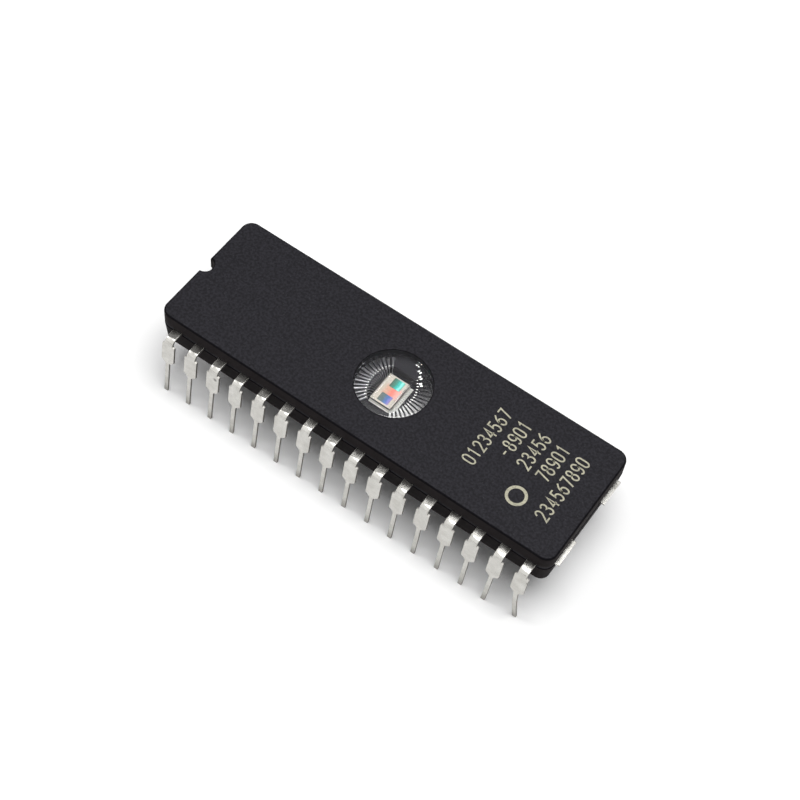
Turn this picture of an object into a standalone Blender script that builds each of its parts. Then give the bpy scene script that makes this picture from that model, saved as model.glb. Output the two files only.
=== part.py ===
"""Windowed ceramic memory package with 32 leads in two rows.

The pin tips stand on Z = 0. X runs along the rows, with the end notch at -X.
Leads 1 to 16 are the row at -Y, from -X to +X, and 17 to 32 come back along +Y.
"""

import math

import bmesh
import bpy
from mathutils import Vector

MM = 0.001

# Lead pattern
PINS_PER_ROW = 16
PITCH = 2.54 * MM

# Leg of a lead, from the tip up to the bend
LEG_LENGTH = 3.92 * MM
LEG_WIDTH = 0.41 * MM
SHOULDER_TAPER = 0.38 * MM
SHOULDER_LENGTH = 2.14 * MM
SHOULDER_WIDTH = 1.36 * MM
NECK_TAPER = 0.10 * MM
NECK_DROP = 0.025 * MM
NECK_WIDTH = 0.90 * MM
LEAD_THICKNESS = 0.25 * MM
BEND_RADIUS = 0.35 * MM

# How far the lead tips stand out from the sides of the ceramic, and how far the flat
# necks do before they bend. The lead frame sits a little towards the row at -Y.
TIP_REACH = 2.00 * MM
NECK_REACH = 0.58 * MM
FRAME_SHIFT = 0.20 * MM

# Fingers inside the seal
NECK_ANCHOR = 0.50 * MM
FINGER_ROOT_DEPTH = 1.40 * MM
FINGER_ROOT_WIDTH = 0.46 * MM
FAN_ENTRY_WIDTH = 0.26 * MM
FINGER_TIP_WIDTH = 0.15 * MM
FAN_RADIUS = 3.70 * MM
FAN_STEP = math.radians(7.7)
TIP_SETBACK = 0.38 * MM

# Cut tie bars that the corner leads keep at the ends of the package
TIE_WIDTH = 2.80 * MM
TIE_REACH = 2.08 * MM
TIE_OFFSET_LEADING = 4.05 * MM
TIE_OFFSET_TRAILING = 3.30 * MM
TIE_ROOT = 0.90 * MM

# Ceramic body, whose outline sits a little off the centre of the lead pattern
END_MARGIN = 1.88 * MM
BODY_WIDTH = 13.20 * MM
BODY_SHIFT = -0.20 * MM
CORNER_RADIUS = 1.10 * MM
SMALLEST_CORNER = 0.25 * MM
NOTCH_RADIUS = 0.80 * MM
LID_THICKNESS = 1.47 * MM
LID_BEVEL = 0.22 * MM
BASE_THICKNESS = 2.20 * MM
BASE_DRAFT = 0.20 * MM
BASE_BEVEL = 0.12 * MM

# Glass seal between lid and base
GLASS_COVER = 0.04 * MM
SEAL_RECESS = 0.07 * MM

# Window and the clear room under it
WINDOW_DIAMETER = 7.10 * MM
WINDOW_BEVEL = 0.05 * MM
RECESS_LIP = 0.35 * MM
RECESS_DEPTH = 0.40 * MM

# Chip in its cavity
DIE_LENGTH = 3.15 * MM
DIE_WIDTH = 2.16 * MM
DIE_THICKNESS = 0.42 * MM
DIE_SHIFT_X = -0.10 * MM
ATTACH_THICKNESS = 0.05 * MM
ATTACH_MARGIN = 0.12 * MM
CAVITY_DEPTH = 0.65 * MM
CAVITY_SIDE_ROOM = 0.52 * MM
CAVITY_END_ROOM = 0.60 * MM
CAVITY_CORNER = 0.70 * MM
CAVITY_SHIFT_X = -0.15 * MM

# Bond wires
WIRE_RADIUS = 0.018 * MM
WIRE_RISE = 0.28 * MM
WIRE_FOOT_BACK = 0.10 * MM
PAD_INSET = 0.12 * MM

# Play left between pieces that touch
FIT = 0.01 * MM

# Facets
BEND_STEPS = 8
CORNER_STEPS = 7
NOTCH_STEPS = 10
BEVEL_STEPS = 3
WINDOW_STEPS = 56
WIRE_STEPS = 5
WIRE_SIDES = 6

# Rounds of working out a leg's lean, which settles within three
SPLAY_ROUNDS = 8

# How far the tips of bent pins lie from true, along X and towards the body
BENT_TIPS = {
    15: (-0.12 * MM, 0.03 * MM),
    16: (0.47 * MM, 0.33 * MM),
}
BENT_LEG_STEPS = 3
BENT_LEG_CURVE = 1.4

# Edges sharper than this stay sharp in the shading
SMOOTH_ANGLE = math.radians(35.0)

# Heights and half sizes that follow from the sizes above
BEND_MID_RADIUS = BEND_RADIUS + LEAD_THICKNESS / 2
SHOULDER_BOTTOM_Z = LEG_LENGTH + SHOULDER_TAPER
SHOULDER_TOP_Z = SHOULDER_BOTTOM_Z + SHOULDER_LENGTH
NECK_BOTTOM_Z = SHOULDER_TOP_Z + NECK_TAPER
LEAD_Z = NECK_BOTTOM_Z + NECK_DROP + BEND_MID_RADIUS


def neck_reach(row):
    """How far a row's flat necks stand out from the side of the ceramic."""
    return NECK_REACH - row * FRAME_SHIFT


def leg_splay(row):
    """Lean of a row's straight legs, from the end of the bend to the tip."""
    splay = 0.0
    for _ in range(SPLAY_ROUNDS):
        run = TIP_REACH - neck_reach(row) - BEND_MID_RADIUS * math.cos(splay)
        drop = LEAD_Z - BEND_MID_RADIUS * (1 - math.sin(splay))
        splay = math.atan(run / drop)
    return splay


LEG_SPLAY = {row: leg_splay(row) for row in (-1, 1)}
SEAL_HALF = LEAD_THICKNESS / 2 + GLASS_COVER
BASE_TOP_Z = LEAD_Z - SEAL_HALF
BASE_BOTTOM_Z = BASE_TOP_Z - BASE_THICKNESS
LID_BOTTOM_Z = LEAD_Z + SEAL_HALF
LID_TOP_Z = LID_BOTTOM_Z + LID_THICKNESS
RECESS_TOP_Z = LID_BOTTOM_Z + RECESS_DEPTH
CAVITY_FLOOR_Z = BASE_TOP_Z - CAVITY_DEPTH
ATTACH_TOP_Z = CAVITY_FLOOR_Z + FIT + ATTACH_THICKNESS
DIE_TOP_Z = ATTACH_TOP_Z + FIT + DIE_THICKNESS

LAST_PIN_X = (PINS_PER_ROW - 1) * PITCH / 2
BODY_HALF_LENGTH = LAST_PIN_X + END_MARGIN
BODY_HALF_WIDTH = BODY_WIDTH / 2
CAVITY_HALF_X = DIE_WIDTH / 2 + CAVITY_SIDE_ROOM
CAVITY_HALF_Y = DIE_LENGTH / 2 + CAVITY_END_ROOM
DIE_X = CAVITY_SHIFT_X + DIE_SHIFT_X
WINDOW_RADIUS = WINDOW_DIAMETER / 2
RECESS_RADIUS = WINDOW_RADIUS + RECESS_LIP


# Scene and materials

def clear_scene():
    for old in list(bpy.data.objects):
        bpy.data.objects.remove(old, do_unlink=True)


def make_material(name, color, roughness, metallic=0.0, transmission=0.0, ior=1.5):
    material = bpy.data.materials.new(name)
    material.use_nodes = True
    shader = material.node_tree.nodes["Principled BSDF"]
    shader.inputs["Base Color"].default_value = (*color, 1.0)
    shader.inputs["Roughness"].default_value = roughness
    shader.inputs["Metallic"].default_value = metallic
    shader.inputs["Transmission Weight"].default_value = transmission
    shader.inputs["IOR"].default_value = ior
    material.diffuse_color = (*color, 1.0)
    return material


def make_materials():
    return {
        "ceramic": make_material("black_ceramic", (0.028, 0.027, 0.033), 0.72),
        "seal": make_material("seal_glass", (0.020, 0.019, 0.022), 0.35),
        "window": make_material("window_glass", (0.93, 0.95, 0.95), 0.02, 0.0, 1.0, 1.48),
        "lead": make_material("tinned_alloy", (0.62, 0.61, 0.57), 0.34, 1.0),
        "silicon": make_material("silicon_die", (0.42, 0.38, 0.36), 0.20, 0.6),
        "attach": make_material("gold_attach", (0.70, 0.63, 0.48), 0.35, 1.0),
    }


def add_object(name, bm, origin, material):
    """Put a body built in world coordinates into the scene, with its own origin."""
    bmesh.ops.recalc_face_normals(bm, faces=bm.faces)
    bmesh.ops.translate(bm, verts=bm.verts, vec=-Vector(origin))
    mesh = bpy.data.meshes.new(name)
    bm.to_mesh(mesh)
    bm.free()
    mesh.materials.append(material)
    mesh.shade_smooth()
    mesh.set_sharp_from_angle(angle=SMOOTH_ANGLE)
    obj = bpy.data.objects.new(name, mesh)
    obj.location = origin
    bpy.context.scene.collection.objects.link(obj)
    return obj


def combine(target, operation, bm):
    """Join or cut a body with another one, built in world coordinates."""
    tool = add_object("tool", bm, (0, 0, 0), target.data.materials[0])
    modifier = target.modifiers.new("combine", "BOOLEAN")
    modifier.operation = operation
    modifier.solver = "EXACT"
    modifier.object = tool
    bpy.context.view_layer.update()
    evaluated = target.evaluated_get(bpy.context.evaluated_depsgraph_get())
    result = bpy.data.meshes.new_from_object(evaluated)
    result.name = target.name
    target.modifiers.clear()
    old = target.data
    target.data = result
    bpy.data.meshes.remove(old)
    bpy.data.objects.remove(tool, do_unlink=True)
    result.shade_smooth()
    result.set_sharp_from_angle(angle=SMOOTH_ANGLE)


# Closed bodies from sections

def skin(bm, rows):
    """Join rings of vertices that have the same number of points."""
    for lower, upper in zip(rows, rows[1:]):
        count = len(lower)
        for i in range(count):
            j = (i + 1) % count
            bm.faces.new((lower[i], lower[j], upper[j], upper[i]))


def loft(bm, rings):
    """Skin a row of rings of points, cap both ends and return their vertices."""
    rows = [[bm.verts.new(point) for point in ring] for ring in rings]
    skin(bm, rows)
    bm.faces.new(list(reversed(rows[0])))
    bm.faces.new(rows[-1])
    return rows


def stack(levels):
    """Loft flat outlines, given as (outline, height) from the bottom to the top."""
    bm = bmesh.new()
    loft(bm, [[(x, y, z) for x, y in outline] for outline, z in levels])
    return bm


def circle(center_x, center_y, radius, steps):
    turns = (2 * math.pi * i / steps for i in range(steps))
    return [(center_x + radius * math.cos(a), center_y + radius * math.sin(a)) for a in turns]


def rounded_rectangle(center_x, half_x, half_y, radius, steps):
    points = []
    for quarter, (sx, sy) in enumerate(((1, 1), (-1, 1), (-1, -1), (1, -1))):
        cx = center_x + sx * (half_x - radius)
        cy = sy * (half_y - radius)
        for i in range(steps + 1):
            a = math.pi / 2 * (quarter + i / steps)
            points.append((cx + radius * math.cos(a), cy + radius * math.sin(a)))
    return points


def body_outline(inset):
    """Plan of the ceramic, moved in all round, with the half-round notch at -X."""
    corner = max(CORNER_RADIUS - inset, SMALLEST_CORNER)
    points = rounded_rectangle(
        BODY_SHIFT, BODY_HALF_LENGTH - inset, BODY_HALF_WIDTH - inset, corner, CORNER_STEPS
    )
    radius = NOTCH_RADIUS + inset
    swing = math.acos(inset / radius)
    end_x = BODY_SHIFT - BODY_HALF_LENGTH
    notch = []
    for i in range(NOTCH_STEPS + 1):
        a = swing * (1 - 2 * i / NOTCH_STEPS)
        notch.append((end_x + radius * math.cos(a), radius * math.sin(a)))
    after_second_corner = 2 * (CORNER_STEPS + 1)
    return points[:after_second_corner] + notch + points[after_second_corner:]


def bevel_levels(top_z, bevel, base_inset):
    """Outlines of a rounded upper edge, from the foot of the rounding to the top."""
    levels = []
    for i in range(BEVEL_STEPS + 1):
        a = math.pi / 2 * i / BEVEL_STEPS
        inset = base_inset + bevel * (1 - math.cos(a))
        levels.append((body_outline(inset), top_z - bevel * (1 - math.sin(a))))
    return levels


# Ceramic, seal and window

def make_lid(materials):
    levels = [(body_outline(0), LID_BOTTOM_Z)] + bevel_levels(LID_TOP_Z, LID_BEVEL, 0)
    lid = add_object("ceramic_lid", stack(levels), (0, 0, LID_BOTTOM_Z), materials["ceramic"])
    hole = circle(0, 0, WINDOW_RADIUS + FIT, WINDOW_STEPS)
    recess = circle(0, 0, RECESS_RADIUS, WINDOW_STEPS)
    below = LID_BOTTOM_Z - RECESS_DEPTH
    combine(lid, "DIFFERENCE", stack([(hole, below), (hole, LID_TOP_Z + RECESS_DEPTH)]))
    combine(lid, "DIFFERENCE", stack([(recess, below), (recess, RECESS_TOP_Z)]))
    return lid


def make_window(materials):
    full = circle(0, 0, WINDOW_RADIUS, WINDOW_STEPS)
    edge = circle(0, 0, WINDOW_RADIUS - WINDOW_BEVEL, WINDOW_STEPS)
    levels = [(full, RECESS_TOP_Z), (full, LID_TOP_Z - WINDOW_BEVEL), (edge, LID_TOP_Z)]
    return add_object("window", stack(levels), (0, 0, RECESS_TOP_Z), materials["window"])


def cavity_outline(inset):
    return rounded_rectangle(
        CAVITY_SHIFT_X, CAVITY_HALF_X - inset, CAVITY_HALF_Y - inset,
        CAVITY_CORNER - inset, CORNER_STEPS
    )


def make_base(materials):
    draft_inset = BASE_DRAFT * (1 - BASE_BEVEL / BASE_THICKNESS)
    levels = [
        (body_outline(BASE_DRAFT + BASE_BEVEL), BASE_BOTTOM_Z),
        (body_outline(draft_inset), BASE_BOTTOM_Z + BASE_BEVEL),
        (body_outline(0), BASE_TOP_Z),
    ]
    base = add_object("ceramic_base", stack(levels), (0, 0, BASE_BOTTOM_Z), materials["ceramic"])
    rim = cavity_outline(0)
    cavity = stack([(rim, CAVITY_FLOOR_Z), (rim, BASE_TOP_Z + CAVITY_DEPTH)])
    combine(base, "DIFFERENCE", cavity)
    return base


def make_seal(materials, pins):
    """Glass ring that holds the leads, with a lower shelf under the fan of fingers."""
    bottom = BASE_TOP_Z + FIT
    top = LID_BOTTOM_Z - FIT
    outline = body_outline(SEAL_RECESS)
    seal = add_object("seal_glass", stack([(outline, bottom), (outline, top)]),
                      (0, 0, bottom), materials["seal"])
    recess = circle(0, 0, RECESS_RADIUS, WINDOW_STEPS)
    combine(seal, "DIFFERENCE", stack([(recess, LEAD_Z), (recess, LID_TOP_Z)]))
    rim = cavity_outline(0)
    combine(seal, "DIFFERENCE", stack([(rim, CAVITY_FLOOR_Z), (rim, LID_TOP_Z)]))
    slots = bmesh.new()
    for pin in pins:
        lead_strip(slots, pin, finger_stations(pin, FIT), FIT)
    combine(seal, "DIFFERENCE", slots)
    return seal


# Chip

def make_attach(materials):
    half_x = DIE_WIDTH / 2 + ATTACH_MARGIN
    half_y = DIE_LENGTH / 2 + ATTACH_MARGIN
    outline = rounded_rectangle(DIE_X, half_x, half_y, ATTACH_MARGIN, CORNER_STEPS)
    bottom = CAVITY_FLOOR_Z + FIT
    levels = [(outline, bottom), (outline, ATTACH_TOP_Z)]
    return add_object("die_attach", stack(levels), (DIE_X, 0, bottom), materials["attach"])


def make_die(materials):
    bm = bmesh.new()
    low = (DIE_X - DIE_WIDTH / 2, -DIE_LENGTH / 2, ATTACH_TOP_Z + FIT)
    high = (DIE_X + DIE_WIDTH / 2, DIE_LENGTH / 2, DIE_TOP_Z)
    add_box(bm, low, high)
    return add_object("die", bm, (DIE_X, 0, low[2]), materials["silicon"])


def add_box(bm, low, high):
    outline = [(low[0], low[1]), (high[0], low[1]), (high[0], high[1]), (low[0], high[1])]
    loft(bm, [[(x, y, z) for x, y in outline] for z in (low[2], high[2])])


# Leads

def ribbon(bm, stations, thickness):
    """Loft a strip through (centre, half-width vector, unit normal) stations."""
    rings = []
    for center, side, normal in stations:
        rise = normal * (thickness / 2)
        rings.append((center + side + rise, center - side + rise,
                      center - side - rise, center + side - rise))
    return loft(bm, rings)


def pin_list():
    """Where each lead stands, which way its row faces and its place in the fan."""
    pins = []
    for number in range(1, 2 * PINS_PER_ROW + 1):
        first_row = number <= PINS_PER_ROW
        place = number - 1 if first_row else 2 * PINS_PER_ROW - number
        x = place * PITCH - LAST_PIN_X
        from_middle = abs(x) / PITCH - 0.5
        rank = PINS_PER_ROW / 2 - 1 - from_middle
        pins.append({
            "number": number,
            "x": x,
            "row": -1 if first_row else 1,
            "end": 1 if x > 0 else -1,
            "rise": (rank + 0.5) * FAN_STEP,
            "corner": place in (0, PINS_PER_ROW - 1),
        })
    return pins


def fan_direction(pin):
    return Vector((pin["end"] * math.cos(pin["rise"]), pin["row"] * math.sin(pin["rise"]), 0))


def tip_radius(pin):
    """Fingertips end on an ellipse that stands back from the cavity."""
    a = CAVITY_HALF_X + TIP_SETBACK
    b = CAVITY_HALF_Y + TIP_SETBACK
    return a * b / math.hypot(b * math.cos(pin["rise"]), a * math.sin(pin["rise"]))


def finger_plan(pin):
    """Centre line of the flat part of a lead, from the bend to the fingertip."""
    row = pin["row"]
    out = fan_direction(pin)
    fan = Vector((CAVITY_SHIFT_X, 0, LEAD_Z))
    return [
        (Vector((pin["x"], row * (BODY_HALF_WIDTH + neck_reach(row)), LEAD_Z)), NECK_WIDTH),
        (Vector((pin["x"], row * (BODY_HALF_WIDTH - NECK_ANCHOR), LEAD_Z)), NECK_WIDTH),
        (Vector((pin["x"], row * (BODY_HALF_WIDTH - FINGER_ROOT_DEPTH), LEAD_Z)), FINGER_ROOT_WIDTH),
        (fan + out * FAN_RADIUS, FAN_ENTRY_WIDTH),
        (fan + out * tip_radius(pin), FINGER_TIP_WIDTH),
    ]


def finger_stations(pin, grow=0.0):
    """Mitred sections along the flat part, wider and longer all round by grow."""
    plan = finger_plan(pin)
    points = [point for point, _ in plan]
    points[-1] = points[-1] - fan_direction(pin) * grow
    headings = [(b - a).normalized() for a, b in zip(points, points[1:])]
    up = Vector((0, 0, 1))
    stations = []
    for i, (_, width) in enumerate(plan):
        before = headings[max(i - 1, 0)]
        after = headings[min(i, len(headings) - 1)]
        heading = (before + after).normalized()
        mitre = 1 / heading.dot(after)
        side = up.cross(heading) * (width / 2 + grow) * mitre
        stations.append((points[i], side, up))
    return stations


def leg_stations(pin):
    """Sections from the tip up the splayed leg and round the bend."""
    row = pin["row"]
    splay = LEG_SPLAY[row]
    bend_y = BODY_HALF_WIDTH + neck_reach(row)
    bend_z = LEAD_Z - BEND_MID_RADIUS
    bend_end_y = bend_y + BEND_MID_RADIUS * math.cos(splay)
    bend_end_z = bend_z + BEND_MID_RADIUS * math.sin(splay)
    lean_x, lean_y = BENT_TIPS.get(pin["number"], (0.0, 0.0))

    def section(z, width):
        y = bend_end_y + (bend_end_z - z) * math.tan(splay)
        bend = max(1 - z / LEG_LENGTH, 0.0) ** BENT_LEG_CURVE
        center = Vector((pin["x"] + lean_x * bend, row * (y - lean_y * bend), z))
        across = Vector((0, row / math.cos(splay), 0))
        return center, Vector((row * width / 2, 0, 0)), across

    steps = BENT_LEG_STEPS if pin["number"] in BENT_TIPS else 1
    stations = [section(LEG_LENGTH * i / steps, LEG_WIDTH) for i in range(steps + 1)]
    stations.append(section(SHOULDER_BOTTOM_Z, SHOULDER_WIDTH))
    stations.append(section(SHOULDER_TOP_Z, SHOULDER_WIDTH))
    stations.append(section(NECK_BOTTOM_Z, NECK_WIDTH))
    for i in range(BEND_STEPS):
        turn = (math.pi / 2 - splay) * (1 - i / BEND_STEPS)
        normal = Vector((0, row * math.sin(turn), math.cos(turn)))
        center = Vector((pin["x"], row * bend_y, bend_z)) + normal * BEND_MID_RADIUS
        stations.append((center, Vector((row * NECK_WIDTH / 2, 0, 0)), normal))
    return stations


def tie_span(pin):
    """How far the tie bar reaches across the package, as lower and upper distance."""
    leading = pin["end"] * pin["row"] < 0
    offset = TIE_OFFSET_LEADING if leading else TIE_OFFSET_TRAILING
    return offset - TIE_WIDTH / 2, offset + TIE_WIDTH / 2


def lead_strip(bm, pin, stations, grow=0.0):
    """One lead's strip, with the cut tie bar that branches off at a corner lead."""
    rows = ribbon(bm, stations, LEAD_THICKNESS + 2 * grow)
    if not pin["corner"]:
        return
    anchor, root = rows[-4], rows[-3]
    top, bottom = (0, 3) if pin["end"] == pin["row"] else (1, 2)
    mouth = [anchor[top], root[top], root[bottom], anchor[bottom]]
    bm.faces.remove(bm.faces.get(mouth))
    near, far = tie_span(pin)
    half = LEAD_THICKNESS / 2 + grow
    corners = ((far + grow, half), (near - grow, half), (near - grow, -half), (far + grow, -half))
    rows = [mouth]
    for reach in (TIE_ROOT, TIE_REACH + grow):
        x = pin["end"] * (LAST_PIN_X + reach)
        rows.append([bm.verts.new((x, pin["row"] * y, LEAD_Z + z)) for y, z in corners])
    skin(bm, rows)
    bm.faces.new(rows[-1])


def wire_body(pin):
    """Bond wire from the top of the fingertip, in an arch, down to the die's edge."""
    out = fan_direction(pin)
    fan = Vector((CAVITY_SHIFT_X, 0, 0))
    foot = fan + out * (tip_radius(pin) + WIRE_FOOT_BACK)
    from_die = foot - Vector((DIE_X, 0, 0))
    pad_x = DIE_WIDTH / 2 - PAD_INSET
    pad_y = DIE_LENGTH / 2 - PAD_INSET
    share = min(pad_x / max(abs(from_die.x), pad_x), pad_y / max(abs(from_die.y), pad_y))
    pad = Vector((DIE_X, 0, 0)) + from_die * share
    start_z = LEAD_Z + LEAD_THICKNESS / 2 - WIRE_RADIUS / 2
    end_z = DIE_TOP_Z + FIT + WIRE_RADIUS
    span = (pad - foot).length
    heading = (pad - foot) / span
    side = Vector((0, 0, 1)).cross(heading)
    rings = []
    for i in range(WIRE_STEPS + 1):
        s = i / WIRE_STEPS
        z = start_z + (end_z - start_z) * s + 4 * WIRE_RISE * s * (1 - s)
        slope = (end_z - start_z) + 4 * WIRE_RISE * (1 - 2 * s)
        along = (heading * span + Vector((0, 0, slope))).normalized()
        along = heading if i == WIRE_STEPS else along
        up = along.cross(-side)
        center = foot + heading * (span * s) + Vector((0, 0, z))
        turns = [2 * math.pi * k / WIRE_SIDES for k in range(WIRE_SIDES)]
        rings.append([center + (side * math.cos(a) + up * math.sin(a)) * WIRE_RADIUS
                      for a in turns])
    bm = bmesh.new()
    loft(bm, rings)
    return bm


def make_lead(pin, materials):
    stations = leg_stations(pin) + finger_stations(pin)
    bm = bmesh.new()
    lead_strip(bm, pin, stations)
    foot = stations[0][0]
    lead = add_object("lead_%02d" % pin["number"], bm, foot, materials["lead"])
    combine(lead, "UNION", wire_body(pin))
    return lead


def main():
    clear_scene()
    materials = make_materials()
    pins = pin_list()
    pieces = [
        make_base(materials),
        make_seal(materials, pins),
        make_lid(materials),
        make_window(materials),
        make_attach(materials),
        make_die(materials),
    ]
    pieces += [make_lead(pin, materials) for pin in pins]
    package = bpy.data.objects.new("package", None)
    bpy.context.scene.collection.objects.link(package)
    for piece in pieces:
        piece.parent = package


main()
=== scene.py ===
"""Looks of the windowed ceramic memory package: finishes, light, floor and camera."""

import math

import bmesh
import bpy
from mathutils import Euler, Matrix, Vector, noise


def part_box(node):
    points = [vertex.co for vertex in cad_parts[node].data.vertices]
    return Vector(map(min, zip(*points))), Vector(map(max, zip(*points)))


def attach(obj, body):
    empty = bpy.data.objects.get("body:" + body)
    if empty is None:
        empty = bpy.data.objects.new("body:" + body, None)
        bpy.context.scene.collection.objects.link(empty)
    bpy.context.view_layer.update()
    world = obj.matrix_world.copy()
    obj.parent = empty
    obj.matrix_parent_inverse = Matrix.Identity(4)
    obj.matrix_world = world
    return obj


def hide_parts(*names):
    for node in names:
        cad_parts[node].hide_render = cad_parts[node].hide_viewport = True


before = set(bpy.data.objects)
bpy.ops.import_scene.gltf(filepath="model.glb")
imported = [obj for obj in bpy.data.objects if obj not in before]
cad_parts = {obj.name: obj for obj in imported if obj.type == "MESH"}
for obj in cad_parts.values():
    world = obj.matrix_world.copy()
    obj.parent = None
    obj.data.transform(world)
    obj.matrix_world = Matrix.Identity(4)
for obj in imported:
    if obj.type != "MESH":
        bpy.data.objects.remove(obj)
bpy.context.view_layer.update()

MM = 0.001

# Points nearer to each other than this are one point
SAME_PLACE = 1e-7

# Sizes that the dressing shares with the solids
PINS_PER_ROW = 16
LEAD_NUMBERS = range(1, 2 * PINS_PER_ROW + 1)
PITCH = 2.54 * MM
LAST_PIN_X = (PINS_PER_ROW - 1) * PITCH / 2
BODY_SHIFT = -0.20 * MM
END_MARGIN = 1.88 * MM
BODY_HALF_LENGTH = LAST_PIN_X + END_MARGIN
BODY_HALF_WIDTH = 6.60 * MM
CORNER_RADIUS = 1.10 * MM
NOTCH_RADIUS = 0.80 * MM
LID_BEVEL = 0.22 * MM
BASE_DRAFT = 0.20 * MM
BASE_BEVEL = 0.12 * MM
RECESS_DEPTH = 0.40 * MM
RECESS_RADIUS = 3.90 * MM
WINDOW_RADIUS = 3.55 * MM
LEAD_THICKNESS = 0.25 * MM
DIE_X = -0.25 * MM
DIE_HALF_X = 1.08 * MM
DIE_HALF_Y = 1.575 * MM
CAVITY_X = -0.15 * MM
CAVITY_HALF_X = 1.60 * MM
CAVITY_HALF_Y = 2.175 * MM
CAVITY_CORNER = 0.70 * MM
CAVITY_DEPTH = 0.65 * MM
FAN_STEP = math.radians(7.7)
TIP_SETBACK = 0.38 * MM
WIRE_FOOT_BACK = 0.10 * MM
PAD_INSET = 0.12 * MM
DIE_PROUD = 0.004 * MM

LID_LOW, LID_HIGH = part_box("ceramic_lid")
BASE_LOW, BASE_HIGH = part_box("ceramic_base")
DIE_LOW, DIE_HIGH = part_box("die")
LID_TOP_Z = LID_HIGH.z
LID_BOTTOM_Z = LID_LOW.z
BASE_TOP_Z = BASE_HIGH.z
BASE_BOTTOM_Z = BASE_LOW.z
LEAD_Z = (LID_BOTTOM_Z + BASE_TOP_Z) / 2
CAVITY_FLOOR_Z = BASE_TOP_Z - CAVITY_DEPTH
RECESS_TOP_Z = LID_BOTTOM_Z + RECESS_DEPTH

# Camera, at the photograph's viewing angle
CAMERA_PLACE = Vector((40.001, -72.410, 137.895)) * MM
CAMERA_TURN = (31.857, -4.212, 35.137)
CAMERA_LENS = 78.296
CAMERA_SENSOR = 36.0
CAMERA_NEAR = 0.005
CAMERA_FAR = 10.0

# One large softbox overhead and a weak lamp beyond the notched end, in a dim white room. Each
# lamp has its place and its diameter in millimetres, and its power in watts.
ROOM_LIGHT = 0.18
LAMPS = {
    "softbox": (Vector((60, 35, 445)), 380, 1.98),
    "side": (Vector((-250, -50, 250)), 150, 0.22),
}
SOFTBOX_HEIGHT = 450 * MM

# What polished faces see of the room: pale walls, brighter in front by FRONT_SEEN, and behind the
# package a dark sector, which keeps the share DARK_LEFT of their light. It starts at the height
# DARK_LOW and ends at the pale ceiling, which reaches CEILING_REACH round CEILING_AXIS. Heights
# are those of a direction of length one.
ROOM_SEEN = 0.90
FRONT_SEEN = 0.40
FRONT_FULL = 0.30
DARK_TOWARDS = math.radians(120)
DARK_HALF_WIDTH = math.radians(45)
DARK_LOW = 0.20
DARK_SOFT = 0.025
DARK_LEFT = 0.08
CEILING_AXIS = Vector((0.134, 0.078, 0.988))
CEILING_REACH = math.radians(30.5)

# Table, whose glow makes up for the softbox's falling light where a camera or mirror sees it
FLOOR_SIZE = 3.0
FLOOR_COLOR = 0.86
FLOOR_SEEN = 1.0
FLOOR_GLOW = 0.01


# Node helpers

class Graph:
    """Short calls for building the node tree of a material or a world."""

    def __init__(self, owner, coordinates):
        owner.use_nodes = True
        self.tree = owner.node_tree
        self.place = self.new("ShaderNodeTexCoord").outputs[coordinates]

    def new(self, kind):
        return self.tree.nodes.new(kind)

    def put(self, socket, value):
        if isinstance(value, bpy.types.NodeSocket):
            self.tree.links.new(value, socket)
        else:
            socket.default_value = value

    def math(self, operation, a, b=0.0, c=0.0):
        node = self.new("ShaderNodeMath")
        node.operation = operation
        for socket, value in zip(node.inputs, (a, b, c)):
            self.put(socket, value)
        return node.outputs[0]

    def vector(self, operation, a, b=(0, 0, 0)):
        node = self.new("ShaderNodeVectorMath")
        node.operation = operation
        self.put(node.inputs[0], a)
        self.put(node.inputs[1], b)
        return node.outputs["Value" if operation in ("LENGTH", "DISTANCE") else "Vector"]

    def split(self, vector):
        node = self.new("ShaderNodeSeparateXYZ")
        self.put(node.inputs[0], vector)
        return node.outputs[0], node.outputs[1], node.outputs[2]

    def range(self, value, low, high, out_low=0.0, out_high=1.0, smooth=False):
        node = self.new("ShaderNodeMapRange")
        node.interpolation_type = "SMOOTHSTEP" if smooth else "LINEAR"
        for i, v in enumerate((value, low, high, out_low, out_high)):
            self.put(node.inputs[i], v)
        return node.outputs[0]

    def inside(self, value, low, high, soft):
        """One between low and high, falling to zero over soft outside them."""
        rise = self.range(value, low - soft, low)
        fall = self.range(value, high, high + soft, 1.0, 0.0)
        return self.math("MULTIPLY", rise, fall)

    def choose(self, fac, a, b):
        """The number a, or b where fac is one."""
        node = self.new("ShaderNodeMix")
        for i, value in ((0, fac), (2, a), (3, b)):
            self.put(node.inputs[i], value)
        return node.outputs[0]

    def rays(self, *kinds):
        """One for rays of any of these kinds."""
        path = self.new("ShaderNodeLightPath")
        fac = path.outputs[kinds[0]]
        for kind in kinds[1:]:
            fac = self.math("MAXIMUM", fac, path.outputs[kind])
        return fac


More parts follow.
